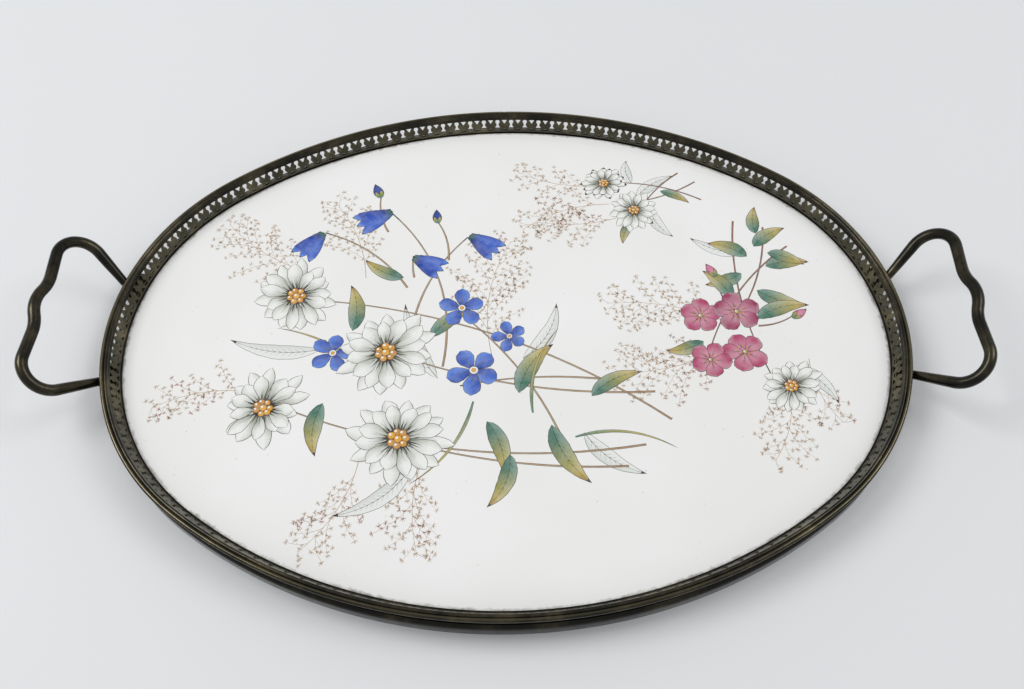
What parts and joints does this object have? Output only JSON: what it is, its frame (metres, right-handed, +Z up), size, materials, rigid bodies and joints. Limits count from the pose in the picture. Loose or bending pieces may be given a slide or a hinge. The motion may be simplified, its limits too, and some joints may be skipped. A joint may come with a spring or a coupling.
{
  "type": "gallery tray",
  "caption": "Oval serving tray: glazed plaque in a tarnished brass mount with a low pierced gallery, beaded rim and two fixed rod handles.",
  "frame": {"origin": "on the surface the tray stands on, under the middle of the plaque", "axes": "+Z up, X along the tray with the handles at -X and +X, -Y the front"},
  "size_m": [0.4147, 0.2695, 0.0379],
  "materials": {
    "glazed_earthenware": "gloss",
    "board_wood": "matte",
    "tarnished_brass": "satin"
  },
  "bodies": {
    "root": {"plaque": "glazed_earthenware", "backing_board": "board_wood", "base_moulding": "tarnished_brass", "board_lugs": "tarnished_brass", "pierced_gallery": "tarnished_brass", "rim": "tarnished_brass", "left_handle": "tarnished_brass", "right_handle": "tarnished_brass", "left_front_socket": "tarnished_brass", "left_back_socket": "tarnished_brass", "right_front_socket": "tarnished_brass", "right_back_socket": "tarnished_brass"}
  },
  "joints": []
}
